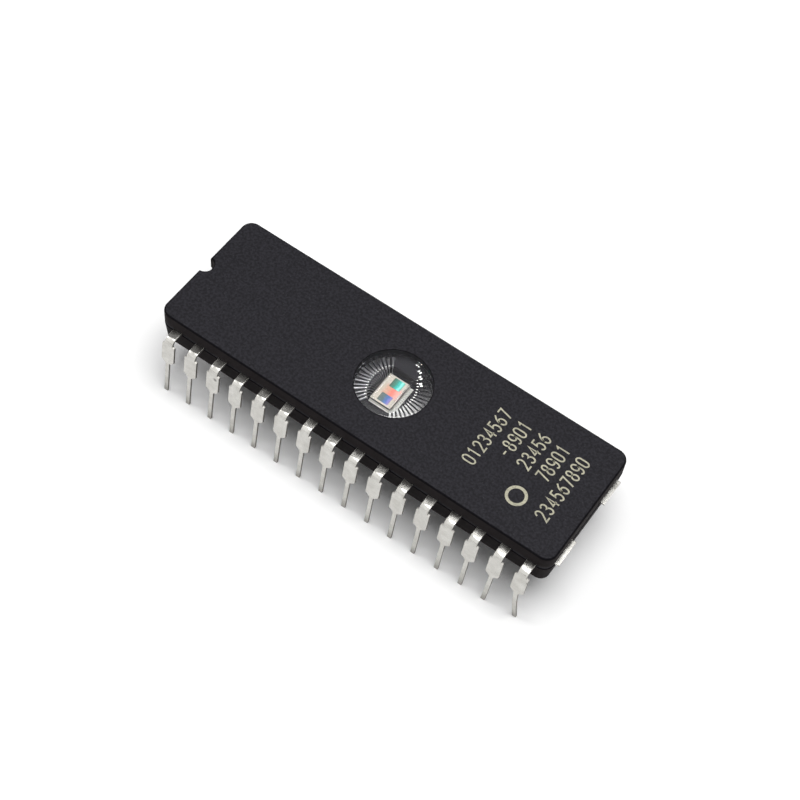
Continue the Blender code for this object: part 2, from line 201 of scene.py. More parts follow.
class Finish(Graph):
    """Node tree of one material, built round its own shader."""

    def __init__(self, name):
        self.material = bpy.data.materials.new(name)
        super().__init__(self.material, "Object")
        self.shader = self.tree.nodes["Principled BSDF"]
        self.surface = self.tree.nodes["Material Output"].inputs["Surface"]

    def set(self, **values):
        for key, value in values.items():
            name = key.replace("_", " ").title().replace("Ior", "IOR")
            self.put(self.shader.inputs[name], value)

    def normal(self):
        """Direction that the surface itself faces."""
        return self.split(self.new("ShaderNodeNewGeometry").outputs["Normal"])

    def noise(self, size, detail=3.0, roughness=0.55, stretch=(1, 1, 1)):
        """Noise whose blotches are about size metres across."""
        node = self.new("ShaderNodeTexNoise")
        self.put(node.inputs["Vector"], self.vector("MULTIPLY", self.place, stretch))
        node.inputs["Scale"].default_value = 1 / size
        node.inputs["Detail"].default_value = detail
        node.inputs["Roughness"].default_value = roughness
        return node.outputs["Fac"]

    def cells(self, size):
        """Distance from the nearest of many points about size metres apart."""
        node = self.new("ShaderNodeTexVoronoi")
        self.put(node.inputs["Vector"], self.place)
        node.inputs["Scale"].default_value = 1 / size
        return node.outputs["Distance"]

    def ramp(self, fac, stops, smooth=False):
        node = self.new("ShaderNodeValToRGB")
        node.color_ramp.interpolation = "EASE" if smooth else "LINEAR"
        while len(node.color_ramp.elements) < len(stops):
            node.color_ramp.elements.new(0.5)
        for element, (place, color) in zip(node.color_ramp.elements, stops):
            element.position = place
            element.color = (*color, 1.0)
        self.put(node.inputs[0], fac)
        return node.outputs[0]

    def mottle(self, fac, low, high):
        """Colour that goes from low to high over the middle of a noise."""
        return self.ramp(fac, [(0.3, low), (0.7, high)])

    def mix(self, fac, a, b):
        node = self.new("ShaderNodeMix")
        node.data_type = "RGBA"
        self.put(node.inputs[0], fac)
        for socket, value in ((node.inputs[6], a), (node.inputs[7], b)):
            self.put(socket, (*value, 1.0) if isinstance(value, tuple) else value)
        return node.outputs[2]

    def bump(self, height, distance, strength):
        node = self.new("ShaderNodeBump")
        node.inputs["Strength"].default_value = strength
        node.inputs["Distance"].default_value = distance
        self.put(node.inputs["Height"], height)
        self.put(self.shader.inputs["Normal"], node.outputs[0])

    def plain(self, kind, color=(1.0, 1.0, 1.0)):
        """Output of a simple shader of one colour."""
        node = self.new(kind)
        node.inputs["Color"].default_value = (*color, 1.0)
        return node.outputs[0]

    def blend(self, fac, first, second):
        """Mix of two shaders."""
        node = self.new("ShaderNodeMixShader")
        for socket, value in zip(node.inputs, (fac, first, second)):
            self.put(socket, value)
        return node.outputs[0]


# Materials

def ceramic_material():
    g = Finish("black_ceramic")
    grain = g.noise(0.10 * MM, 4.0, 0.65)
    cloud = g.noise(1.4 * MM, 3.0, 0.5)
    pores = g.cells(0.22 * MM)
    flecks = g.range(g.cells(0.42 * MM), 0.05, 0.12, 1.0, 0.0)
    speck = g.noise(0.24 * MM, 1.0, 0.6)
    tone = g.math("MULTIPLY_ADD", grain, 0.20, g.math("MULTIPLY", cloud, 0.10))
    tone = g.math("MULTIPLY_ADD", speck, 0.70, tone)
    color = g.ramp(tone, [(0.40, (0.0026, 0.0022, 0.0042)), (0.60, (0.0136, 0.0128, 0.0172))])
    color = g.mix(g.math("MULTIPLY", flecks, 0.45), color, (0.060, 0.057, 0.062))
    level = g.math("ABSOLUTE", g.normal()[2])
    # Painted shade: the upright sides get a tone of their own, set for the light that reaches them,
    # in place of the top's tone.
    side = g.range(level, 0.3, 0.6, 1.0, 0.0)
    wall = g.mix(cloud, (0.0115, 0.0092, 0.0096), (0.0225, 0.0188, 0.0198))
    color = g.mix(side, color, wall)
    # Painted shade: the bevels, which lean between top and side, are painted near black as a dark
    # line along the edges.
    edge = g.inside(level, 0.35, 0.85, 0.12)
    color = g.mix(g.math("MULTIPLY", edge, 0.8), color, (0.0030, 0.0028, 0.0034))
    g.set(base_color=color, roughness=g.range(grain, 0.3, 0.7, 0.60, 0.80))
    g.set(specular_ior_level=g.range(level, 0.90, 0.99, 0.04, 0.22))
    g.bump(g.math("MULTIPLY_ADD", g.range(pores, 0.0, 0.5), 0.35, grain), 0.012 * MM, 0.55)
    return g.material


def seal_material():
    g = Finish("solder_glass")
    flow = g.noise(0.25 * MM, 3.0, 0.6)
    g.set(base_color=g.mottle(flow, (0.012, 0.011, 0.014), (0.026, 0.024, 0.029)))
    g.set(roughness=g.range(flow, 0.3, 0.7, 0.46, 0.62), specular_ior_level=0.10)
    g.bump(flow, 0.02 * MM, 0.4)
    return g.material


def window_material():
    """Clear polished glass with a little dust, dark at the rim that is fused to the ceramic."""
    g = Finish("window_glass")
    g.set(base_color=(0.97, 0.98, 0.98, 1.0), roughness=0.0, transmission_weight=1.0, ior=1.48)
    shade = g.plain("ShaderNodeBsdfTransparent", (0.46, 0.46, 0.46))
    glass = g.blend(g.rays("Is Shadow Ray"), g.shader.outputs[0], shade)
    dust = g.plain("ShaderNodeBsdfDiffuse", (0.80, 0.80, 0.85))
    haze = g.range(g.noise(0.3 * MM, 3.0, 0.6), 0.3, 0.7, 0.008, 0.020)
    wall = g.plain("ShaderNodeBsdfDiffuse", (0.012, 0.012, 0.014))
    upright = g.math("LESS_THAN", g.math("ABSOLUTE", g.normal()[2]), 0.5)
    g.put(g.surface, g.blend(upright, g.blend(haze, glass, dust), wall))
    return g.material


# Metal inside the sealed room: bright plating, with painted shade towards the notch, where it is
# also rougher, and at the right behind the middle, as the fingers there mirror the dark lid
PLATED = (0.88, 0.87, 0.86)
NOTCH_SIDE_SHADE = (0.42, 0.41, 0.43)
FAR_RIGHT_SHADE = (0.36, 0.35, 0.36)
PLATING_EDGE = 4.2 * MM
GLAZE_INNER = 3.46 * MM
GLAZE_OUTER = 5.6 * MM

# Smudges on the leads: place in millimetres, radius in millimetres and strength
SMUDGES = [
    ((-13.67, -8.05, 6.01), 0.24, 0.70),
    ((16.27, -8.37, 3.14), 0.16, 0.70),
    ((19.30, -7.94, 6.98), 0.14, 0.80),
    ((19.71, -8.04, 6.11), 0.16, 0.75),
]


def lead_material():
    """Tinned strip with darker tips, partly wear and partly painted shade, plated and partly glazed
    where the seal holds it.
    """
    g = Finish("tinned_strip")
    x, y, z = g.split(g.place)
    facing_x, _, facing_z = g.normal()
    along = g.math("ABSOLUTE", facing_x)
    grain = g.noise(0.06 * MM, 3.0, 0.6, (1, 1, 0.25))
    blotch = g.noise(0.7 * MM, 3.0, 0.6)
    tin = g.mottle(blotch, (0.455, 0.445, 0.415), (0.585, 0.575, 0.545))

    from_middle = g.vector("LENGTH", g.vector("MULTIPLY", g.place, (1, 1, 0)))
    clad = g.range(from_middle, PLATING_EDGE, PLATING_EDGE + 0.4 * MM, 1.0, 0.0)
    glazed = g.inside(from_middle, GLAZE_INNER, GLAZE_OUTER, 0.02 * MM)
    # Painted shade on the plating towards the notch, which is made rougher as well, and on the
    # fingers right of and behind the middle.
    rough_shaded_notch_side = g.math("MULTIPLY", clad, g.range(x, -1.2 * MM, 0.0, 1.0, 0.0))
    far = g.math("MULTIPLY", g.range(x, 0.0, 0.8 * MM), g.range(y, -1.0 * MM, 0.5 * MM))
    color = g.mix(clad, tin, g.mix(far, g.mix(rough_shaded_notch_side, PLATED, NOTCH_SIDE_SHADE), FAR_RIGHT_SHADE))

    # The tips darken over their lowest 1.3 mm: mottled wear, and painted shade where they mirror
    # the shadowed table.
    tip = g.range(z, 0.15 * MM, 1.3 * MM, 1.0, 0.0)
    worn = g.math("MULTIPLY", tip, g.range(grain, 0.35, 0.65, 0.45, 0.95))
    color = g.mix(worn, color, (0.22, 0.21, 0.19))
    ledge = g.math("MULTIPLY", g.range(along, 0.20, 0.35), g.range(facing_z, 0.4, 0.7))
    outside = g.range(g.math("ABSOLUTE", y), 6.0 * MM, 6.5 * MM)
    # Side faces along the row outside the body: stamped edges made rougher, and painted shade that
    # darkens them.
    sheared_and_shaded = g.math("MULTIPLY", g.range(along, 0.75, 0.95), outside)
    color = g.mix(g.math("MULTIPLY", sheared_and_shaded, 0.8), color, (0.17, 0.165, 0.15))
    for place, radius, strength in SMUDGES:
        near = g.vector("DISTANCE", g.place, Vector(place) * MM)
        near = g.math("MULTIPLY_ADD", g.noise(0.12 * MM), 0.16 * MM, near)
        spot = g.range(near, radius * 0.7 * MM, radius * 1.4 * MM, strength, 0.0)
        color = g.mix(spot, color, (0.06, 0.055, 0.05))
    color = g.mix(glazed, color, (0.014, 0.013, 0.016))
    g.set(base_color=color, metallic=g.math("SUBTRACT", 1.0, glazed))

    rough = g.math("MULTIPLY_ADD", grain, 0.10, g.range(blotch, 0.3, 0.7, 0.13, 0.22))
    rough = g.math("MULTIPLY_ADD", g.math("MAXIMUM", sheared_and_shaded, ledge), 0.35, rough)
    rough = g.math("MULTIPLY", rough, g.range(clad, 0.0, 1.0, 1.0, 0.45))
    rough = g.math("MULTIPLY_ADD", rough_shaded_notch_side, 0.20, rough)
    g.set(roughness=g.math("MULTIPLY_ADD", glazed, 0.5, rough))
    g.set(specular_ior_level=g.range(glazed, 0.0, 1.0, 0.5, 0.05))
    g.bump(grain, 0.003 * MM, 0.4)
    return g.material


# Memory fields on the chip: the two ends of each along X, then along Y
UPPER_FIELD = (-0.67 * MM, 0.42 * MM, 0.40 * MM, 1.44 * MM)
LOWER_FIELD = (-0.75 * MM, 0.38 * MM, -1.38 * MM, -0.46 * MM)


def die_material():
    """Patterned silicon, with a painted sheen on its two memory fields and the band between them,
    laid out by place.
    """
    g = Finish("silicon_chip")
    x, y, _ = g.split(g.place)
    fine = g.noise(0.05 * MM, 2.0, 0.5)
    haze = g.noise(0.5 * MM, 2.0, 0.5)
    border = g.mottle(fine, (0.52, 0.47, 0.39), (0.80, 0.74, 0.65))
    # The ramps below are the painted sheen, brightening and changing hue across each field.
    drift = g.math("MULTIPLY_ADD", haze, 0.25 * MM, x)
    coral = g.ramp(g.range(drift, -0.95 * MM, 0.95 * MM), [
        (0.0, (0.62, 0.54, 0.44)), (0.30, (0.74, 0.40, 0.28)),
        (0.55, (0.95, 0.25, 0.19)), (0.80, (0.90, 0.44, 0.38)), (1.0, (0.78, 0.60, 0.52)),
    ], True)
    color = g.mix(g.inside(y, -0.42 * MM, 0.42 * MM, 0.30 * MM), border, coral)
    green = g.ramp(g.range(drift, -0.62 * MM, 0.62 * MM), [
        (0.0, (0.10, 0.12, 0.09)), (0.30, (0.05, 0.24, 0.17)),
        (0.58, (0.03, 0.58, 0.50)), (0.78, (0.30, 0.95, 0.88)), (1.0, (0.06, 0.42, 0.26)),
    ], True)
    blue = g.ramp(g.range(drift, -0.72 * MM, 0.60 * MM), [
        (0.0, (0.19, 0.19, 0.15)), (0.35, (0.12, 0.18, 0.19)),
        (0.62, (0.09, 0.20, 0.52)), (0.82, (0.24, 0.24, 0.66)), (1.0, (0.42, 0.26, 0.38)),
    ], True)
    for (x0, x1, y0, y1), sheen in ((UPPER_FIELD, green), (LOWER_FIELD, blue)):
        field = g.math("MULTIPLY", g.inside(x, x0, x1, 0.02 * MM), g.inside(y, y0, y1, 0.02 * MM))
        color = g.mix(field, color, sheen)
    columns = g.range(g.math("PINGPONG", x, 0.045 * MM), 0.0, 0.008 * MM, 0.5, 0.0)
    rows = g.range(g.math("PINGPONG", y, 0.16 * MM), 0.0, 0.010 * MM, 0.6, 0.0)
    color = g.mix(g.math("MAXIMUM", columns, rows), color, (0.10, 0.09, 0.09))
    top = g.range(g.normal()[2], 0.5, 0.9)
    g.set(base_color=g.mix(top, (0.020, 0.020, 0.022), color), metallic=0.1, roughness=0.38)
    return g.material


def paste_material(name, low, high, metallic):
    """Fired metal paste, matt and a little uneven."""
    g = Finish(name)
    grain = g.noise(0.08 * MM, 4.0, 0.6)
    g.set(base_color=g.mottle(grain, low, high))
    g.set(metallic=metallic, roughness=g.range(grain, 0.3, 0.7, 0.42, 0.62))
    g.bump(grain, 0.01 * MM, 0.4)
    return g.material


def bond_material():
    g = Finish("bond_aluminium")
    grain = g.noise(0.02 * MM, 2.0, 0.5)
    g.set(base_color=g.mottle(grain, (0.80, 0.79, 0.78), (0.92, 0.91, 0.90)))
    g.set(metallic=1.0, roughness=g.range(grain, 0.3, 0.7, 0.16, 0.30))
    return g.material


def ink_material():
    g = Finish("marking_ink")
    worn = g.noise(0.16 * MM, 4.0, 0.6)
    thin = g.range(g.noise(1.1 * MM, 2.0, 0.5), 0.3, 0.6, 0.75, 1.0)
    cover = g.math("MULTIPLY", g.range(worn, 0.30, 0.52, 0.45, 1.0), thin)
    g.set(base_color=g.mix(cover, (0.06, 0.058, 0.056), (0.50, 0.48, 0.36)))
    g.set(roughness=g.range(worn, 0.3, 0.7, 0.55, 0.75), specular_ior_level=0.3)
    g.bump(worn, 0.006 * MM, 0.5)
    return g.material


def floor_material():
    """White table that shows as even white and keeps the shadow, clear from below."""
    g = Finish("white_table")
    seen = g.rays("Is Camera Ray", "Is Glossy Ray", "Is Transmission Ray")
    color = g.mix(seen, (FLOOR_COLOR,) * 3, (FLOOR_SEEN,) * 3)
    g.set(base_color=color, roughness=1.0, specular_ior_level=0.0)
    away = g.math("DIVIDE", g.vector("LENGTH", g.place), SOFTBOX_HEIGHT)
    spread = g.math("POWER", g.math("MULTIPLY_ADD", away, away, 1.0), -2.0)
    glow = g.math("SUBTRACT", 1.0 + FLOOR_GLOW, spread)
    g.set(emission_color=(1.0, 1.0, 1.0, 1.0), emission_strength=g.math("MULTIPLY", seen, glow))
    back = g.new("ShaderNodeNewGeometry").outputs["Backfacing"]
    clear = g.plain("ShaderNodeBsdfTransparent")
    g.put(g.surface, g.blend(back, g.shader.outputs[0], clear))
    return g.material


# Meshes

def new_object(name, bm):
    """Turn a finished mesh into an object in the scene."""
    mesh = bpy.data.meshes.new(name)
    bm.to_mesh(mesh)
    bm.free()
    made = bpy.data.objects.new(name, mesh)
    bpy.context.scene.collection.objects.link(made)
    return made


def add_piece(name, bm, material, nodes=(), smooth=40.0, flats=True):
    """Put a finished mesh on the root body, in place of CAD nodes where it has any."""
    bmesh.ops.recalc_face_normals(bm, faces=bm.faces)
    piece = new_object(name, bm)
    piece.data.materials.append(material)
    finish_shading(piece, smooth, flats)
    if nodes:
        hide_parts(*nodes)
    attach(piece, "root")
    return piece


def finish_shading(piece, smooth=40.0, flats=True):
    piece.data.shade_smooth()
    piece.data.set_sharp_from_angle(angle=math.radians(smooth))
    if flats:
        modifier = piece.modifiers.new("flats", "WEIGHTED_NORMAL")
        modifier.keep_sharp = True


def cut(piece, bm):
    """Cut a closed mesh out of a piece and keep the result as its mesh."""
    bmesh.ops.recalc_face_normals(bm, faces=bm.faces)
    cutter = new_object("cutter", bm)
    piece.modifiers.clear()
    modifier = piece.modifiers.new("cut", "BOOLEAN")
    modifier.operation = "DIFFERENCE"
    modifier.solver = "EXACT"
    modifier.object = cutter
    bpy.context.view_layer.update()
    evaluated = piece.evaluated_get(bpy.context.evaluated_depsgraph_get())
    result = bpy.data.meshes.new_from_object(evaluated)
    piece.modifiers.clear()
    piece.data = result
    bpy.data.objects.remove(cutter, do_unlink=True)
    finish_shading(piece)


def skin(bm, rows, closed=False):
    """Join rings of vertices; closed joins the last ring to the first as well."""
    pairs = list(zip(rows, rows[1:]))
    if closed:
        pairs.append((rows[-1], rows[0]))
    for lower, upper in pairs:
        count = len(lower)
        for i in range(count):
            j = (i + 1) % count
            bm.faces.new((lower[i], lower[j], upper[j], upper[i]))


def loft(bm, rings):
    rows = [[bm.verts.new(point) for point in ring] for ring in rings]
    skin(bm, rows)
    bm.faces.new(list(reversed(rows[0])))
    bm.faces.new(rows[-1])


def lathe(bm, profile, steps=144):
    """Turn a profile of (radius, height) points about Z, closed by a cap at both ends."""
    turns = [2 * math.pi * i / steps for i in range(steps)]
    loft(bm, [[(radius * math.cos(a), radius * math.sin(a), z) for a in turns]
              for radius, z in profile])


def between(p, q, count):
    """Points that divide a straight line, without its ends."""
    shares = [i / count for i in range(1, count)]
    return [(p[0] + (q[0] - p[0]) * s, p[1] + (q[1] - p[1]) * s) for s in shares]


def slab(bm, outline, low, high):
    """Upright slab over an outline in plan."""
    loft(bm, [[(x, y, z) for x, y in outline] for z in (low, high)])


def quarter_turn(steps):
    """Sine and one minus cosine over a quarter turn, as a rolled edge rises and leans in."""
    turns = [math.pi / 2 * i / steps for i in range(steps + 1)]
    return [(math.sin(a), 1 - math.cos(a)) for a in turns]


PLAN_CORNER_STEPS = 12


def rounded_corner(center_x, half_x, half_y, radius, quarter, steps):
    sx, sy = ((1, 1), (-1, 1), (-1, -1), (1, -1))[quarter]
    cx = center_x + sx * (half_x - radius)
    cy = sy * (half_y - radius)
    turns = (math.pi / 2 * (quarter + i / steps) for i in range(steps + 1))
    return [(cx + radius * math.cos(a), cy + radius * math.sin(a)) for a in turns]


def rounded_rectangle(center_x, half_x, half_y, radius):
    points = []
    for quarter in range(4):
        points += rounded_corner(center_x, half_x, half_y, radius, quarter, PLAN_CORNER_STEPS)
    return points


def body_outline(inset, corner_steps=14, notch_steps=22, long_steps=70, short_steps=8):
    """Plan of the ceramic with points all along its sides, moved in by inset."""
    corner = max(CORNER_RADIUS - inset, CORNER_RADIUS / 4)
    corners = [rounded_corner(BODY_SHIFT, BODY_HALF_LENGTH - inset, BODY_HALF_WIDTH - inset,
                              corner, quarter, corner_steps) for quarter in range(4)]
    radius = NOTCH_RADIUS + inset
    swing = math.acos(inset / radius)
    end_x = BODY_SHIFT - BODY_HALF_LENGTH
    turns = [swing * (1 - 2 * i / notch_steps) for i in range(notch_steps + 1)]
    notch = [(end_x + radius * math.cos(a), radius * math.sin(a)) for a in turns]
    points = corners[0] + between(corners[0][-1], corners[1][0], long_steps)
    points += corners[1] + between(corners[1][-1], notch[0], short_steps)
    points += notch + between(notch[-1], corners[2][0], short_steps)
    points += corners[2] + between(corners[2][-1], corners[3][0], long_steps)
    points += corners[3] + between(corners[3][-1], corners[0][0], 2 * short_steps)
    return points


def uneven(points, z, depth, size):
    """Push an outline in by up to depth, as a pressed and fired edge is."""
    count = len(points)
    moved = []
    for i, (x, y) in enumerate(points):
        before, after = points[i - 1], points[(i + 1) % count]
        along = Vector((after[0] - before[0], after[1] - before[1])).normalized()
        amount = depth * (0.5 + 0.5 * noise.noise(Vector((x, y, z)) / size))
        moved.append((x - along.y * amount, y + along.x * amount, z))
    return moved


def plate(bm, span, low, high, inward, down):
    """Flat block over the span x0, x1, y0, y1, bevelled inward and down round its top."""
    x0, x1, y0, y1 = span
    rings = []
    for z, inset in ((low, 0.0), (high - down, 0.0), (high, inward)):
        rings.append([(x1 - inset, y1 - inset, z), (x0 + inset, y1 - inset, z),
                      (x0 + inset, y0 + inset, z), (x1 - inset, y0 + inset, z)])
    loft(bm, rings)


def add_blob(bm, center, reach, side, height, steps, levels, floor=None):
    """Ellipsoid from two half axes in the plan and a height, cut flat at floor times the height."""
    pole = math.pi / 2 * 0.96
    start = -pole if floor is None else math.asin(floor)
    rings = []
    for j in range(levels + 1):
        t = start + (pole - start) * j / levels
        ring = []
        for i in range(steps):
            a = 2 * math.pi * i / steps
            offset = (reach * math.cos(a) + side * math.sin(a)) * math.cos(t)
            ring.append(center + offset + Vector((0, 0, height * math.sin(t))))
        rings.append(ring)
    loft(bm, rings)


def pin_place(number):
    """Where a lead stands along the package and which row it is in."""
    first_row = number <= PINS_PER_ROW
    place = number - 1 if first_row else 2 * PINS_PER_ROW - number
    return place * PITCH - LAST_PIN_X, (-1 if first_row else 1)


# Ceramic, seal and window

INK_HEIGHT = 0.006 * MM
EDGE_WANDER = 0.014 * MM
WANDER_SIZE = 0.9 * MM


def body_ring(inset, z):
    return uneven(body_outline(inset), z, EDGE_WANDER, WANDER_SIZE)


def make_lid(material):
    top = LID_TOP_Z - INK_HEIGHT
    foot = 0.05 * MM
    side_low = LID_BOTTOM_Z + foot
    side_high = top - LID_BEVEL
    rings = [body_ring(foot, LID_BOTTOM_Z), body_ring(foot * 0.3, LID_BOTTOM_Z + foot * 0.3)]
    rings += [body_ring(0, side_low + (side_high - side_low) * i / 3) for i in range(3)]
    for up, inward in quarter_turn(8):
        rings.append(body_ring(LID_BEVEL * inward, side_high + LID_BEVEL * up))
    bm = bmesh.new()
    loft(bm, rings)
    lid = add_piece("lid", bm, material, ["ceramic_lid"])

    rim = 0.07 * MM
    recess_edge = 0.06 * MM
    hole = WINDOW_RADIUS + 0.01 * MM
    profile = [(RECESS_RADIUS, LID_BOTTOM_Z - RECESS_DEPTH),
               (RECESS_RADIUS, RECESS_TOP_Z - recess_edge),
               (RECESS_RADIUS - recess_edge, RECESS_TOP_Z), (hole, RECESS_TOP_Z)]
    profile += [(hole + rim * outward, top - rim * (1 - up)) for up, outward in quarter_turn(5)]
    profile.append((hole + rim, top + RECESS_DEPTH))
    bm = bmesh.new()
    lathe(bm, profile)
    cut(lid, bm)


def make_base(material):
    draft = BASE_DRAFT * (1 - BASE_BEVEL / (BASE_TOP_Z - BASE_BOTTOM_Z))
    edge = 0.05 * MM
    rings = []
    for up, inward in quarter_turn(5):
        rings.append(body_ring(draft + BASE_BEVEL * (1 - up), BASE_BOTTOM_Z + BASE_BEVEL * inward))
    low = BASE_BOTTOM_Z + BASE_BEVEL
    rise = BASE_TOP_Z - edge - low
    rings += [body_ring(draft * (1 - i / 4), low + rise * i / 4) for i in range(1, 5)]
    rings.append(body_ring(edge, BASE_TOP_Z))
    bm = bmesh.new()
    loft(bm, rings)
    base = add_piece("base", bm, material, ["ceramic_base"])
    bm = bmesh.new()
    slab(bm, cavity_outline(0), CAVITY_FLOOR_Z, BASE_TOP_Z + RECESS_DEPTH)
    cut(base, bm)


def cavity_outline(inset):
    half_x, half_y, corner = (v - inset for v in (CAVITY_HALF_X, CAVITY_HALF_Y, CAVITY_CORNER))
    return rounded_rectangle(CAVITY_X, half_x, half_y, corner)


def make_cavity_floor(material):
    """Metal paste fired onto the floor of the cavity, short of two of its walls."""
    margin = 0.07 * MM
    outline = []
    for x, y in cavity_outline(0.01 * MM):
        point = (max(x, DIE_X - DIE_HALF_X - margin), min(y, DIE_HALF_Y + margin))
        if not outline or math.dist(point, outline[-1]) > SAME_PLACE:
            outline.append(point)
    bm = bmesh.new()
    low = CAVITY_FLOOR_Z + 0.001 * MM
    slab(bm, outline, low, low + 0.006 * MM)
    add_piece("cavity_floor", bm, material)


def make_seal_bead(material):
    """Rounded outer face of the glass, and the meniscus round each lead."""
    bm = bmesh.new()
    half = (LID_BOTTOM_Z - BASE_TOP_Z) / 2 - 0.003 * MM
    inner = body_outline(0.16 * MM)
    rows = [[bm.verts.new((x, y, LEAD_Z - half)) for x, y in inner]]
    steps = 6
    for i in range(steps + 1):
        a = math.pi * (i / steps - 0.5)
        outline = body_outline(0.105 * MM - 0.06 * MM * math.cos(a))
        ring = uneven(outline, LEAD_Z + half * math.sin(a), 0.05 * MM, 0.6 * MM)
        rows.append([bm.verts.new(point) for point in ring])
    rows.append([bm.verts.new((x, y, LEAD_Z + half)) for x, y in inner])
    skin(bm, rows, closed=True)
    for number in LEAD_NUMBERS:
        x, row = pin_place(number)
        swell = noise.noise(Vector((number * 0.37, row, 0.5)))
        center = Vector((x, row * (BODY_HALF_WIDTH - 0.07 * MM), LEAD_Z))
        reach = Vector((0.60 * MM, 0, 0))
        side = Vector((0, (0.13 + 0.03 * swell) * MM, 0))
        add_blob(bm, center, reach, side, half, 24, 10)
    add_piece("seal_bead", bm, material, smooth=60, flats=False)


def make_window(material):
    """Disc of clear glass whose face rolls down to its rim."""
    top = LID_TOP_Z - 0.020 * MM
    low = RECESS_TOP_Z + 0.001 * MM
    bevel = 0.03 * MM
    roll_start = 2.95 * MM
    roll_drop = 0.03 * MM
    profile = [(WINDOW_RADIUS - bevel, low), (WINDOW_RADIUS, low + bevel)]
    steps = 14
    for i in range(steps + 1):
        s = 1 - i / steps
        radius = roll_start + (WINDOW_RADIUS - roll_start) * s
        profile.append((radius, top - roll_drop * s ** 2.2))
    bm = bmesh.new()
    lathe(bm, profile)
    add_piece("window_lens", bm, material, ["window"])


# Chip

def make_die(material):
    """Sawn chip, its two memory fields standing a little proud."""
    bm = bmesh.new()
    body_top = DIE_HIGH.z - DIE_PROUD
    body_bevel = 0.003 * MM
    span = (DIE_X - DIE_HALF_X, DIE_X + DIE_HALF_X, -DIE_HALF_Y, DIE_HALF_Y)
    plate(bm, span, DIE_LOW.z, body_top, body_bevel, body_bevel)
    field_low, field_high = body_top - 0.003 * MM, DIE_HIGH.z - 0.001 * MM
    field_bevel = 0.0005 * MM
    for field in (UPPER_FIELD, LOWER_FIELD):
        plate(bm, field, field_low, field_high, field_bevel, field_bevel)
    add_piece("die_chip", bm, material, ["die"], smooth=20)


# Rings of the paste round the chip in millimetres: margin, rise and how far the outline wanders
PASTE_RINGS = [(0.10, 0.0, 0.05), (0.08, 0.02, 0.05), (0.06, 0.05, 0.03),
               (0.030, 0.10, 0.01), (0.012, 0.17, 0.0), (0.004, 0.20, 0.0)]


def make_paste(material):
    """Die attach squeezed out round the chip, with a hollow fillet up its sides."""
    rings = []
    low = CAVITY_FLOOR_Z + 0.006 * MM
    for margin, rise, wander in PASTE_RINGS:
        half_x, half_y = DIE_HALF_X + margin * MM, DIE_HALF_Y + margin * MM
        outline = rounded_rectangle(DIE_X, half_x, half_y, (margin + 0.01) * MM)
        dense = []
        for i, point in enumerate(outline):
            side_follows = (i + 1) % (PLAN_CORNER_STEPS + 1) == 0
            dense.append(point)
            dense += between(point, outline[(i + 1) % len(outline)], 6 if side_follows else 1)
        rings.append(uneven(dense, low + rise * MM, wander * MM, 0.45 * MM))
    bm = bmesh.new()
    loft(bm, rings)
    add_piece("die_paste", bm, material, ["die_attach"])


def wire_ends(number):
    """Foot on the fingertip and pad on the chip of one bond wire, in plan."""
    x, row = pin_place(number)
    rank = PINS_PER_ROW / 2 - 1 - (abs(x) / PITCH - 0.5)
    rise = (rank + 0.5) * FAN_STEP
    out = Vector((math.copysign(math.cos(rise), x), row * math.sin(rise), 0))
    a = CAVITY_HALF_X + TIP_SETBACK
    b = CAVITY_HALF_Y + TIP_SETBACK
    tip = a * b / math.hypot(b * math.cos(rise), a * math.sin(rise))
    foot = Vector((CAVITY_X, 0, 0)) + out * (tip + WIRE_FOOT_BACK)
    from_die = foot - Vector((DIE_X, 0, 0))
    pad_x = DIE_HALF_X - PAD_INSET
    pad_y = DIE_HALF_Y - PAD_INSET
    share = min(pad_x / max(abs(from_die.x), pad_x), pad_y / max(abs(from_die.y), pad_y))
    return foot, Vector((DIE_X, 0, 0)) + from_die * share, out


# The fingers rise at this slope once they are nearer to the chip than LIFT_REACH, and are cut
# across there and at even steps first, so that their faces stay flat. Within COINED_RADIUS of the
# middle, some are shaded as if their edges were rolled.
FINGER_SLOPE = math.tan(math.radians(3.5))
LIFT_REACH = 3.70 * MM
LIFT_CUTS = 5
LIFT_CUT_STEP = 0.30 * MM
COINED_RADIUS = 3.90 * MM


def finger_reach(place, out):
    """Distance from the cavity's centre, measured along the finger."""
    return (Vector((place.x, place.y, 0)) - Vector((CAVITY_X, 0, 0))).dot(out)


def finger_lift(place, ends):
    """How far the springy fingers, and their wires with them, rise towards the chip."""
    foot, pad, out = ends
    reach = finger_reach(place, out)
    share = 1.0
    if reach < finger_reach(foot, out) - WIRE_FOOT_BACK - 0.005 * MM:
        share = (Vector((place.x, place.y, 0)) - pad).dot(foot - pad) / (foot - pad).length_squared
    return FINGER_SLOPE * max(LIFT_REACH - reach, 0.0) * min(max(share, 0.0), 1.0)


# Pairs of bright splashes of metal on the seal, in millimetres
SPLASHES = [(0.33, 3.52), (0.84, 3.05), (1.25, 2.53), (1.69, 1.95)]
SPLASH_SPREAD = 0.24 * MM


